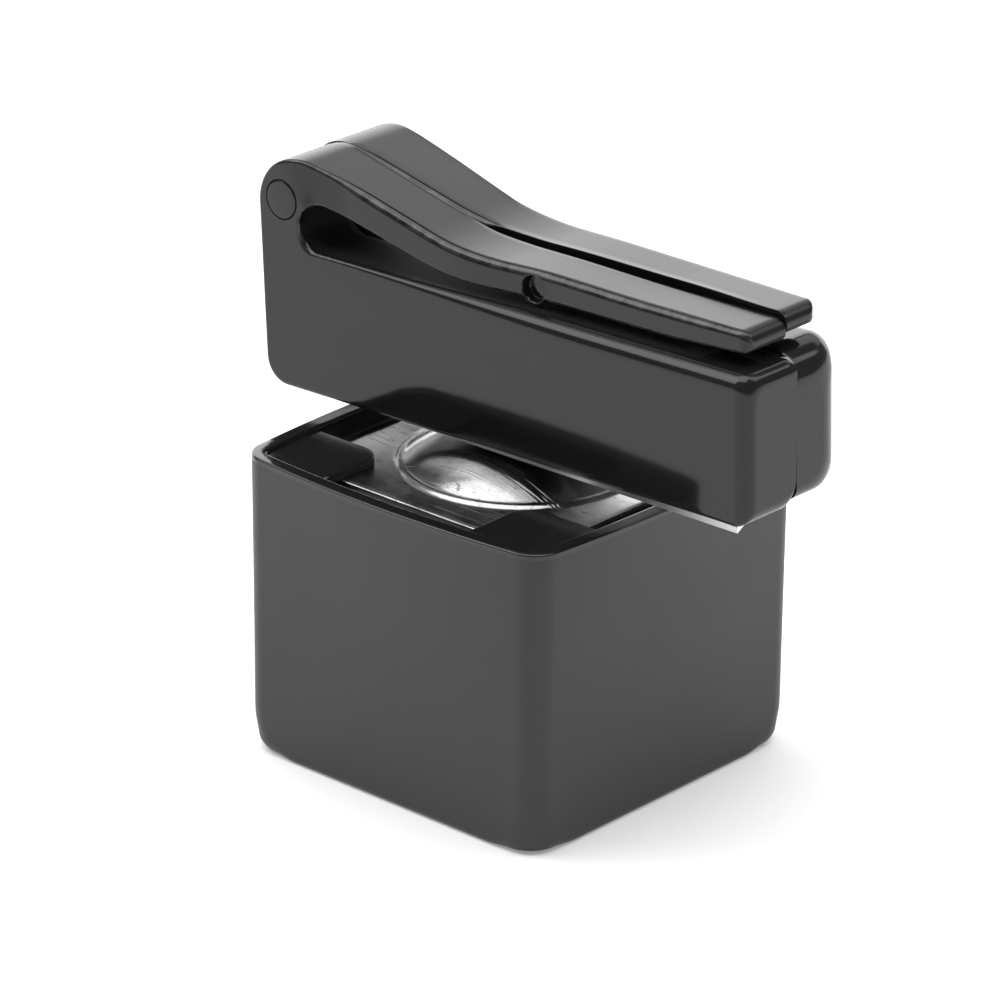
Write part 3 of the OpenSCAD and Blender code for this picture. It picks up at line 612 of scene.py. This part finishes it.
def moulding(side):
    """Spines of the base and of the arm with its hump, on the front (-1) or the rear (1) of the seam.

    The base's rows stand upright from the open end to the slot. The neck's rows fan out from the slot's
    round end to the bottom, heel, back and hump, and base and arm part at SPLIT_ROW of the back. The
    arm's rows join its top to its underside, and stand upright from UNDER_LAG_END on.
    """
    seam = SEAM_Y + side * SEAM_GAP
    rear = side > 0
    first, last = RECESS_FROM, RECESS_TO[rear]
    rounding, lower_r, upper_r = END_ROUND, LOWER_ROUND, END_ROUND
    if rear:
        rounding, lower_r, upper_r = REAR_END_ROUND, REAR_LOWER_ROUND, REAR_UPPER_ROUND
    hump_r, arm_r = HUMP_EDGE[rear], ARM_EDGE[rear]
    right = CLIP_RIGHT - REAR_END_BACK * rear
    end = right - rounding + rounding * np.sin(np.radians(np.linspace(0, 90, 16)))
    straight = np.linspace(SLOT[0], end[0], 70)[:-1]
    x = np.sort(np.concatenate([end, [last - RECESS_STEP, last + RECESS_STEP], straight]))[::-1]
    at_end = smooth(x, CLIP_RIGHT - SEAM_CORNER[0], CLIP_RIGHT - SEAM_CORNER[1])
    corner = (not rear) * (END_ROUND - SEAM_CUT) * at_end
    line = np.column_stack([x, 0 * x])
    base = spine_of(line, line + (0, BASE_TOP), outer_r=lower_r, face=face_place(x, side, 0), seam=seam,
                    inner_r=SLOT_EDGE + (upper_r - SLOT_EDGE) * smooth(x, SLOT[0], UPPER_ROUND_FULL),
                    pull_low=end_pull(x, right, END_ROUND), pull_high=end_pull(x, right, rounding),
                    pull_side=end_pull(x, right, rounding),
                    recess=RECESS * (x < last), seam_r=SEAM_CUT + corner)

    bottom_x = np.concatenate([np.linspace(SLOT[0], first, 10)[1:],
                               [first - 2 * RECESS_STEP, CLIP_LEFT + HEEL_ROUND]])
    bottom = np.column_stack([bottom_x, 0 * bottom_x])
    heel = np.array([CLIP_LEFT + HEEL_ROUND, HEEL_ROUND]) + arc(HEEL_ROUND, -90, -180, 12)[1:]
    back = heel[-1] + (HUMP - (HUMP_R, 0) - heel[-1]) * np.linspace(0, 1, 30)[1:, None]
    hump = arc(HUMP_R, 180, 90 - np.degrees(TOP_FALL), 40)[1:]
    round_at = np.clip(np.degrees(np.arctan2(hump[:, 1], hump[:, 0])) - SWELL_FROM, 0, 90)
    swell = 1 + rear * HUMP_SWELL / HUMP_R * np.sin(np.radians(2 * round_at)) ** 2
    hump = HUMP + hump * swell[:, None]
    outer = np.concatenate([bottom, heel, back, hump])
    ray = outer - SLOT
    inner = SLOT + SLOT_R * ray / np.linalg.norm(ray, axis=1, keepdims=True)
    on_hump = np.repeat([0.0, 1.0], [len(outer) - len(hump), len(hump)])
    on_arm = on_hump * smooth(outer[:, 0], HUMP[0], ARM_START)
    foot_r = (lower_r - hump_r) * (1 - smooth(outer[:, 1], 0.0, HEEL_FADE))
    below = (np.degrees(np.arctan2(ray[:, 1], ray[:, 0])) % 360 - BREAK_FROM) / BREAK_SPAN
    neck = spine_of(outer, inner, face=face_place(outer[:, 0], side, on_hump), seam=seam,
                    inner_r=SLOT_EDGE + SLOT_BREAK * np.sin(np.pi * np.clip(below, 0, 1)) ** 2,
                    outer_r=hump_r + foot_r,
                    seam_r=SEAM_CUT + (SEAM_ROUND - SEAM_CUT) * rear * on_arm,
                    recess=RECESS * (outer[:, 0] >= first) * (outer[:, 1] == 0))

    near_eye = np.linspace(EYE[0] - EYE_RUN, EYE[0] + EYE_RUN, 50)
    tip = ARM_TIP - TIP_ROUND + TIP_ROUND * np.sin(np.radians(np.linspace(0, 90, 14)))
    x = np.concatenate([np.linspace(outer[-1, 0], near_eye[0], 60)[1:], near_eye[1:],
                        np.linspace(near_eye[-1], tip[0], 40)[1:], tip[1:]])
    under_x = x + (inner[-1, 0] - outer[-1, 0]) * (1 - smooth(x, outer[-1, 0], UNDER_LAG_END))
    top = np.column_stack([x, arm_top(x)])
    under = np.column_stack([under_x, arm_under(under_x, side < 0)])
    tall = np.linalg.norm(top - under, axis=1)
    fallen = rear * smooth(x, HUMP[0], ARM_START) * (1 - smooth(x, *SEAM_ROUND_END))
    closing = smooth(x, *SLIT_CLOSES)
    slit = SEAM_Y + (SLIT_Y - SEAM_Y) * (smooth(x, *SLIT_SHIFTS) - SLIT_RETURN * closing)
    apart = SEAM_GAP + SLIT_HALF * smooth(x, *SLIT_OPENS) * (1 - SLIT_CLOSURE * closing)
    edge_r = hump_r + (arm_r - hump_r) * smooth(x, *ARM_EDGE_FADE)
    arm = spine_of(top, under, face=face_place(x, side, 1), seam=slit + side * apart,
                   seam_r=SEAM_CUT + (SEAM_ROUND - SEAM_CUT) * fallen,
                   lip=SLIT_LIP * rear * smooth(x, *LIP_STARTS) * (1 - smooth(x, *LIP_ENDS)),
                   outer_r=np.minimum(edge_r, OUTER_EDGE_SHARE * tall),
                   inner_r=np.minimum(SLOT_EDGE, INNER_EDGE_SHARE * tall),
                   pull_side=end_pull(x, ARM_TIP, TIP_SIDE_ROUND))
    split = len(bottom) + len(heel) + SPLIT_ROW
    lower = {key: value[:split + 1] for key, value in neck.items()}
    upper = {key: value[split:] for key, value in neck.items()}
    return joined(base, lower), joined(upper, arm)


# Glossy black ABS from a polished mould: deep black with a clear reflection, faint flow marks and hairline
# scuffs. Fingers have worn its tops to a satin. Its edges carry a painted highlight: grey patches mixed
# into the colour. Inside the slot the mould was never polished, so it is rougher, and its colour is
# darkened to near black as painted shade.
FLOW_MM = (9.0, 4.0, 2.5)
RIPPLE_MM = 1.5
RIPPLE_DEPTH = 0.02
HIGHLIGHT_PATCH_MM = 1.3
clip_plastic, tree, surface, place = new_material("polished_abs_black")
flow = node(tree, "ShaderNodeMapping", {"Vector": place, "Scale": tuple(1 / size for size in FLOW_MM)})
marks = node(tree, "ShaderNodeTexNoise",
             {"Vector": flow.outputs[0], "Scale": 1.0, "Detail": 5.0, "Roughness": 0.6})
tone = node(tree, "ShaderNodeValToRGB", {"Fac": marks.outputs["Fac"]})
tone.color_ramp.elements[0].position, tone.color_ramp.elements[0].color = 0.3, linear("#171718")
tone.color_ramp.elements[1].position, tone.color_ramp.elements[1].color = 0.75, linear("#1c1c1d")
gloss = node(tree, "ShaderNodeMapRange",
             {"Value": marks.outputs["Fac"], "To Min": 0.05, "To Max": 0.11})
ripple = node(tree, "ShaderNodeTexNoise", {"Vector": place, "Scale": 1 / RIPPLE_MM, "Detail": 3.0})
bump = node(tree, "ShaderNodeBump",
            {"Height": ripple.outputs["Fac"], "Strength": 0.15, "Distance": RIPPLE_DEPTH * MM})
# Painted shade: inside the slot the colour is mixed towards near black #070707, and the roughness is
# raised.
slot_shade_and_dulling = node(tree, "ShaderNodeAttribute", attribute_name="slot_shade_and_dulling").outputs["Fac"]
shade = node(tree, "ShaderNodeMixRGB",
             {"Fac": slot_shade_and_dulling, "Color1": tone.outputs["Color"], "Color2": linear("#070707")})
# Painted highlight: in noise patches the edges' colour is mixed towards grey #4c4c4d.
highlight_patch_noise = node(tree, "ShaderNodeTexNoise",
            {"Vector": place, "Scale": 1 / HIGHLIGHT_PATCH_MM, "Detail": 4.0, "Roughness": 0.65})
patches = node(tree, "ShaderNodeMapRange",
               {"Value": highlight_patch_noise.outputs["Fac"], "From Min": 0.38, "From Max": 0.6})
edge_highlight = node(tree, "ShaderNodeAttribute", attribute_name="edge_highlight").outputs["Fac"]
rubbed_and_highlit = node(tree, "ShaderNodeMath", {0: patches.outputs[0], 1: edge_highlight}, operation="MULTIPLY")
highlit_edges = node(tree, "ShaderNodeMixRGB",
             {"Fac": rubbed_and_highlit.outputs[0], "Color1": shade.outputs["Color"], "Color2": linear("#4c4c4d")})
handled = node(tree, "ShaderNodeAttribute", attribute_name="handled").outputs["Fac"]
satin = node(tree, "ShaderNodeMapRange",
             {"Value": handled, "To Min": gloss.outputs["Result"], "To Max": 0.27})
dulled = node(tree, "ShaderNodeMapRange",
              {"Value": slot_shade_and_dulling, "To Min": satin.outputs["Result"], "To Max": 0.65})
tree.links.new(highlit_edges.outputs["Color"], surface.inputs["Base Color"])
tree.links.new(dulled.outputs["Result"], surface.inputs["Roughness"])
tree.links.new(bump.outputs["Normal"], surface.inputs["Normal"])
surface.inputs["IOR"].default_value = 1.45

# How much of each mark a point of the section carries, by its number in the section: up to 7 it lies on
# the seam's edge, to 16 on the outer face, to 24 on the outer edge, to 56 on the side face, to 64 on the
# inner edge and to 73 on the inner face. The base's marks also fade along X.
SATIN_SHARE = ((7, 8, 15, 17, 56, 57, 64, 65), (0, 1, 1, 0.1, 0, 0.35, 0.35, 0))
SLOT_SHARE = ((63, 65), (0, 1))
EDGE_SHARE = ((1, 3, 4, 6, 18, 20, 21, 23, 58, 60, 61, 63), (0, 1, 1, 0, 0, 1, 1, 0, 0, 1, 1, 0))
SLOT_FADE = (17.0, 23.5)
EDGE_HIGHLIGHT_FADE = (-15.0, -11.0)
for side, half in ((-1, "front"), (1, "rear")):
    pieces = {}
    for part, spine in zip(("base", "arm"), moulding(side)):
        x, y, z = loop_section(spine, side, side < 0 and part == "arm")
        number = np.broadcast_to(np.arange(x.shape[1]), x.shape)
        open_end, highlight_fade = (smooth(x, *SLOT_FADE), smooth(x, *EDGE_HIGHLIGHT_FADE)) if part == "base" else (0, 0)
        # The slot share carries the painted shade and the edge share the painted highlight. On the base
        # the painted highlight fades out between X -15 and -11.
        shares = {"handled": np.interp(number, *SATIN_SHARE),
                  "edge_highlight": np.interp(number, *EDGE_SHARE) * (1 - highlight_fade),
                  "slot_shade_and_dulling": np.interp(number, *SLOT_SHARE) * (1 - open_end)}
        x, z = (x, z) if side < 0 else leaned(x, z)
        section = on_dome(x, y, z)
        pieces[part] = ring_piece(f"clip_{half}_{part}", section[:, ::-side], clip_plastic)
        for name, share in shares.items():
            share[0 if part == "base" else -1] = 0
            mark = pieces[part].data.attributes.new(name, "FLOAT", "POINT")
            mark.data.foreach_set("value", share[:, ::-side].ravel().astype(np.float32))
    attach(pieces["base"], "clip")
    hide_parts(f"clip_{half}_half")
    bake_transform(pieces["arm"])
    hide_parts(f"{half}_spring_arm")


# The hump dowel: a plain black plastic pin pushed through both humps from the front. Its end stands
# a hair proud of the front hump's face, with a softened edge that shows as a thin ring.
DOWEL_AT = np.array([-19.7, 15.2714])
DOWEL_R = 1.52
DOWEL_EDGE = 0.12
DOWEL_PROUD = 0.04
DOWEL_END = 4.1
DOWEL_MIDDLE = 0.0
FACE_RINGS = (0.8, 0.1)
dowel_face = FRONT_Y - DOWEL_PROUD
shaft = [(DOWEL_R, DOWEL_END), (DOWEL_R, DOWEL_MIDDLE)]
softened = (DOWEL_R - DOWEL_EDGE, dowel_face + DOWEL_EDGE) + arc(DOWEL_EDGE, 0, -90, 6)
dowel_profile = np.concatenate([shaft, softened, [(ring, dowel_face) for ring in FACE_RINGS]])
spun = arc(1.0, 0, 360, 65)[:-1]
pin = DOWEL_AT + dowel_profile[:, :1, None] * spun
pin_y = np.broadcast_to(dowel_profile[:, 1:], pin.shape[:2])
dowel = ring_piece("hump_pin", on_dome(pin[..., 0], pin_y, pin[..., 1]), clip_plastic)
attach(dowel, "arms")
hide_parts("hump_dowel")

# Painted shadow: the shade in the narrow groove round the pin is drawn as a near-black matt collar with a
# little dust. It is a thin collar that stands a few thousandths out of the hump's face, round the pin.
DUST_MM = 0.4
GROOVE_R = 1.64
GROOVE_SHOWS = 0.004
GROOVE_DEPTH = 0.1
groove_shadow_paint, tree, surface, place = new_material("painted_groove_shadow")
dust = node(tree, "ShaderNodeTexNoise", {"Vector": place, "Scale": 1 / DUST_MM, "Detail": 3.0})
tone = node(tree, "ShaderNodeValToRGB", {"Fac": dust.outputs["Fac"]})
tone.color_ramp.elements[0].position, tone.color_ramp.elements[0].color = 0.45, linear("#0b0b0b")
tone.color_ramp.elements[1].position, tone.color_ramp.elements[1].color = 0.8, linear("#242424")
tree.links.new(tone.outputs["Color"], surface.inputs["Base Color"])
surface.inputs["Roughness"].default_value = 0.8
surface.inputs["Specular IOR Level"].default_value = 0.1
groove_face = FRONT_Y - GROOVE_SHOWS
groove_profile = np.array([(GROOVE_R - GROOVE_DEPTH, FRONT_Y + GROOVE_DEPTH),
                           (GROOVE_R, FRONT_Y + GROOVE_DEPTH / 2), (GROOVE_R, groove_face),
                           (DOWEL_R - DOWEL_EDGE, groove_face)])
rim = DOWEL_AT + groove_profile[:, :1, None] * spun
rim_y = np.broadcast_to(groove_profile[:, 1:], rim.shape[:2])
groove = ring_piece("hump_pin_groove_shadow", on_dome(rim[..., 0], rim_y, rim[..., 1]), groove_shadow_paint)
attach(groove, "arms")


# The inner pieces keep their CAD solids: the arm dowel is the clip's own black plastic, and the sole,
# bright steel sheet, and the magnet, nickel plated, both take the bright steel. The rolled sheet gives a
# pale mirror with soft lines along its length, drawn wider than real ones to show.
ROLL_MM = (8.0, 0.3, 0.3)
bright_steel, tree, surface, place = new_material("bright_steel_sheet")
surface.inputs["Metallic"].default_value = 1.0
rolled = node(tree, "ShaderNodeMapping", {"Vector": place, "Scale": tuple(1 / size for size in ROLL_MM)})
lines = node(tree, "ShaderNodeTexNoise", {"Vector": rolled.outputs[0], "Scale": 1.0, "Detail": 3.0})
tone = node(tree, "ShaderNodeValToRGB", {"Fac": lines.outputs["Fac"]})
tone.color_ramp.elements[0].position, tone.color_ramp.elements[0].color = 0.3, linear("#c4c4c4")
tone.color_ramp.elements[1].position, tone.color_ramp.elements[1].color = 0.7, linear("#e2e2e2")
rough = node(tree, "ShaderNodeMapRange",
             {"Value": lines.outputs["Fac"], "To Min": 0.25, "To Max": 0.4})
tree.links.new(tone.outputs["Color"], surface.inputs["Base Color"])
tree.links.new(rough.outputs["Result"], surface.inputs["Roughness"])
inner_pieces = {"arm_dowel": clip_plastic, "sole_plate": bright_steel, "bar_magnet": bright_steel}
for name, material in inner_pieces.items():
    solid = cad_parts[name]
    solid.data.materials.clear()
    solid.data.materials.append(material)


# The studio: a pale floor that is also the white background, a dim white surround, soft lamps above,
# behind and at both sides, and the camera in front of the cup's corner, a little above. Sizes and places
# are in metres.
FLOOR_HALF = 3.0
FLOOR_GLOW = 0.22
SURROUND = 0.22
WHITE = linear("#ffffff")
scene = bpy.context.scene
scene.view_settings.view_transform = "Standard"
floor_mesh = bpy.data.meshes.new("floor")
floor_corners = [(FLOOR_HALF * x, FLOOR_HALF * y, 0) for x, y in ((-1, -1), (1, -1), (1, 1), (-1, 1))]
floor_mesh.from_pydata(floor_corners, [], [(0, 1, 2, 3)])
floor_paint = bpy.data.materials.new("pale_floor")
floor_paint.use_nodes = True
tree = floor_paint.node_tree
surface = tree.nodes["Principled BSDF"]
surface.inputs["Base Color"].default_value = linear("#f6f6f6")
surface.inputs["Roughness"].default_value = 0.9
surface.inputs["Specular IOR Level"].default_value = 0.1
rays = node(tree, "ShaderNodeLightPath")
seen = rays.outputs["Is Camera Ray"]
for kind in ("Is Glossy Ray", "Is Transmission Ray"):
    seen = node(tree, "ShaderNodeMath", {0: seen, 1: rays.outputs[kind]}, operation="MAXIMUM").outputs[0]
glow = node(tree, "ShaderNodeMath", {0: seen, 1: FLOOR_GLOW}, operation="MULTIPLY")
surface.inputs["Emission Color"].default_value = WHITE
tree.links.new(glow.outputs[0], surface.inputs["Emission Strength"])
floor_mesh.materials.append(floor_paint)
floor = bpy.data.objects.new("floor", floor_mesh)
scene.collection.objects.link(floor)

world = bpy.data.worlds.new("white_surround")
world.use_nodes = True
scene.world = world
sky = world.node_tree.nodes["Background"]
sky.inputs["Strength"].default_value = SURROUND
sky.inputs["Color"].default_value = WHITE


def lamp(name, place, target, width, height, power):
    """A soft lamp of width by height at place, facing target, with its power in watts."""
    light = bpy.data.lights.new(name, "AREA")
    light.shape, light.size, light.size_y, light.energy = "RECTANGLE", width, height, power
    holder = bpy.data.objects.new(name, light)
    back = np.array(place, float) - np.array(target, float)
    back /= np.linalg.norm(back)
    right = np.cross((0, 0, 1), back)
    right /= np.linalg.norm(right)
    turn = np.column_stack([right, np.cross(back, right), back])
    holder.matrix_world = Matrix.Translation(place) @ Matrix(turn.tolist()).to_4x4()
    scene.collection.objects.link(holder)


CENTRE = (0.0, 0.0, 0.035)
lamp("overhead", (-0.03, -0.1, 0.9), (-0.051, -0.054, 0.035), 1.2, 0.8, 8.3)
lamp("backdrop", (-0.664, 0.748, 0.32), (0.0, 0.0, 0.32), 2.0, 0.6, 8.6)
lamp("upper", (-0.433, 0.618, 0.69), CENTRE, 1.6, 0.26, 1.45)
lamp("left", (-0.61, -0.42, 0.69), CENTRE, 0.5, 0.45, 2.3)
lamp("right", (0.4, 0.45, 0.6), (0.12, 0.14, 0.0), 0.4, 0.4, 0.9)

SENSOR_MM = 36.0
FRAME_PX = 1001
FOCAL_PX = 5495.0
CAMERA_AT = (0.25743, -0.28984, 0.18416)
CAMERA_ANGLES = (41.834, 22.904, 0.522)
camera_data = bpy.data.cameras.new("camera")
camera_data.sensor_width = SENSOR_MM
camera_data.lens = FOCAL_PX / FRAME_PX * SENSOR_MM
camera_data.clip_end = 20.0
camera = bpy.data.objects.new("camera", camera_data)
azimuth, elevation, roll = np.radians(CAMERA_ANGLES)
back = np.array([np.sin(azimuth) * np.cos(elevation), -np.cos(azimuth) * np.cos(elevation),
                 np.sin(elevation)])
right = np.array([np.cos(azimuth), np.sin(azimuth), 0.0])
up = np.cross(back, right)
turn = np.column_stack([np.cos(roll) * right + np.sin(roll) * up,
                        np.cos(roll) * up - np.sin(roll) * right, back])
camera.matrix_world = Matrix.Translation(CAMERA_AT) @ Matrix(turn.tolist()).to_4x4()
scene.collection.objects.link(camera)
scene.camera = camera
